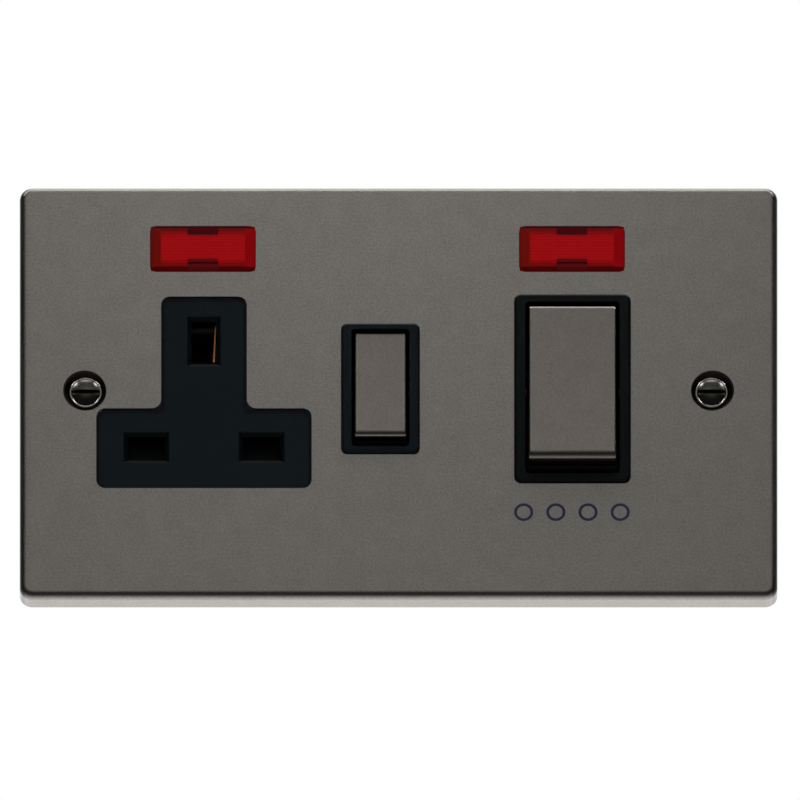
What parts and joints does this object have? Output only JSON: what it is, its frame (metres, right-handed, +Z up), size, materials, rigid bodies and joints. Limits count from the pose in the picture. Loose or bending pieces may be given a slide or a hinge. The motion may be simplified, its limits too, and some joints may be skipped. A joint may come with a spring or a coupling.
{
  "type": "cooker control unit",
  "caption": "Wall unit with a large rocker switch for a cooker, a shuttered mains socket with its own rocker switch, and neon indicator lights.",
  "frame": {"origin": "centre between the two wall screws, in the plane of the plate's rim, which lies on the wall", "axes": "+X to the right as seen from the front, +Z up, the front faces -Y and +Y points into the wall"},
  "size_m": [0.146, 0.0395, 0.086],
  "materials": {
    "plate_metal": "satin pewter plating on steel",
    "cap_metal": "satin pewter plating on steel",
    "black_moulding": "black, satin",
    "rocker_moulding": "black, satin",
    "housing_moulding": "black thermoset, matt",
    "shutter_moulding": "black nylon",
    "spring_steel": "drawn wire",
    "screw_metal": "dark plated, polished",
    "plated_steel": "zinc plated",
    "red_lens": "transparent red, polished",
    "lamp_glass": "clear glass tube",
    "resistor_body": "lacquered",
    "contact_copper": "copper alloy, silver contacts",
    "plunger_nylon": "natural nylon",
    "brass": "stamped and turned brass"
  },
  "bodies": {
    "base": {"cooker_insert": "black_moulding", "earth_bar": "brass", "fixing_screws": "screw_metal", "front_plate": "plate_metal", "live_busbar": "brass", "load_earth_terminal": "brass", "load_live_link": "brass", "load_live_terminal": "brass", "load_neutral_link": "brass", "load_neutral_terminal": "brass", "neon_lamp_left": "lamp_glass", "neon_lamp_right": "lamp_glass", "neon_lens_left": "red_lens", "neon_lens_right": "red_lens", "neon_resistor_left": "resistor_body", "neon_resistor_right": "resistor_body", "neutral_busbar": "brass", "plate_earth_strap": "brass", "plate_nuts": "plated_steel", "rear_housing": "housing_moulding", "shutter_spring": "spring_steel", "socket_earth_contact": "brass", "socket_insert": "black_moulding", "socket_live_contact": "brass", "socket_neutral_contact": "brass", "supply_earth_terminal": "brass", "supply_live_terminal": "brass", "supply_neutral_terminal": "brass", "terminal_screws": "plated_steel"},
    "cooker_rocker": {"cooker_rocker": "rocker_moulding", "cooker_rocker_cap": "cap_metal", "cooker_plunger_spring_live": "spring_steel", "cooker_plunger_spring_neutral": "spring_steel"},
    "cooker_plunger_live": {"cooker_plunger_live": "plunger_nylon"},
    "cooker_contact_bar_live": {"cooker_contact_bar_live": "contact_copper"},
    "cooker_plunger_neutral": {"cooker_plunger_neutral": "plunger_nylon"},
    "cooker_contact_bar_neutral": {"cooker_contact_bar_neutral": "contact_copper"},
    "socket_rocker": {"socket_rocker": "rocker_moulding", "socket_rocker_cap": "cap_metal", "socket_plunger_spring_live": "spring_steel", "socket_plunger_spring_neutral": "spring_steel"},
    "socket_plunger_live": {"socket_plunger_live": "plunger_nylon"},
    "socket_contact_bar_live": {"socket_contact_bar_live": "contact_copper"},
    "socket_plunger_neutral": {"socket_plunger_neutral": "plunger_nylon"},
    "socket_contact_bar_neutral": {"socket_contact_bar_neutral": "contact_copper"},
    "shutter": {"shutter": "shutter_moulding"}
  },
  "joints": [
    {"name": "cooker_rocker_tilt", "type": "hinge", "parent": "base", "child": "cooker_rocker", "pos_m": [0.0335, -0.001, 0.0006], "axis": [1, 0, 0], "range_deg": [0, 14]},
    {"name": "cooker_plunger_live_slide", "type": "slide", "parent": "cooker_rocker", "child": "cooker_plunger_live", "axis": [0, -0.9925, 0.1219], "range_m": [0, 0.0005], "stiffness_N_per_m": 600, "springref_m": -0.004, "deforming": ["cooker_plunger_spring_live"]},
    {"name": "cooker_contact_bar_live_tilt", "type": "hinge", "parent": "base", "child": "cooker_contact_bar_live", "pos_m": [0.0291, 0.0123, 0.0006], "axis": [1, 0, 0], "range_deg": [-16.01, 0]},
    {"name": "cooker_plunger_neutral_slide", "type": "slide", "parent": "cooker_rocker", "child": "cooker_plunger_neutral", "axis": [0, -0.9925, 0.1219], "range_m": [0, 0.0005], "stiffness_N_per_m": 600, "springref_m": -0.004, "deforming": ["cooker_plunger_spring_neutral"]},
    {"name": "cooker_contact_bar_neutral_tilt", "type": "hinge", "parent": "base", "child": "cooker_contact_bar_neutral", "pos_m": [0.0379, 0.0123, 0.0006], "axis": [1, 0, 0], "range_deg": [-16.01, 0]},
    {"name": "socket_rocker_tilt", "type": "hinge", "parent": "base", "child": "socket_rocker", "pos_m": [-0.0035, -0.001, 0.0006], "axis": [1, 0, 0], "range_deg": [0, 14]},
    {"name": "socket_plunger_live_slide", "type": "slide", "parent": "socket_rocker", "child": "socket_plunger_live", "axis": [0, -0.9925, 0.1219], "range_m": [0, 0.0005], "stiffness_N_per_m": 600, "springref_m": -0.004, "deforming": ["socket_plunger_spring_live"]},
    {"name": "socket_contact_bar_live_tilt", "type": "hinge", "parent": "base", "child": "socket_contact_bar_live", "pos_m": [-0.0059, 0.0123, 0.0006], "axis": [1, 0, 0], "range_deg": [-16.01, 0]},
    {"name": "socket_plunger_neutral_slide", "type": "slide", "parent": "socket_rocker", "child": "socket_plunger_neutral", "axis": [0, -0.9925, 0.1219], "range_m": [0, 0.0005], "stiffness_N_per_m": 600, "springref_m": -0.004, "deforming": ["socket_plunger_spring_neutral"]},
    {"name": "socket_contact_bar_neutral_tilt", "type": "hinge", "parent": "base", "child": "socket_contact_bar_neutral", "pos_m": [-0.0011, 0.0123, 0.0006], "axis": [1, 0, 0], "range_deg": [-16.01, 0]},
    {"name": "shutter_slide", "type": "slide", "parent": "base", "child": "shutter", "axis": [0, 0, -1], "range_m": [0, 0.0053], "stiffness_N_per_m": 90, "springref_m": -0.005, "deforming": ["shutter_spring"]}
  ],
  "couplings": [
    {"joint": "cooker_contact_bar_live_tilt", "follows": "cooker_rocker_tilt", "ratio": -1.1429},
    {"joint": "cooker_contact_bar_neutral_tilt", "follows": "cooker_rocker_tilt", "ratio": -1.1429},
    {"joint": "socket_contact_bar_live_tilt", "follows": "socket_rocker_tilt", "ratio": -1.1429},
    {"joint": "socket_contact_bar_neutral_tilt", "follows": "socket_rocker_tilt", "ratio": -1.1429}
  ]
}
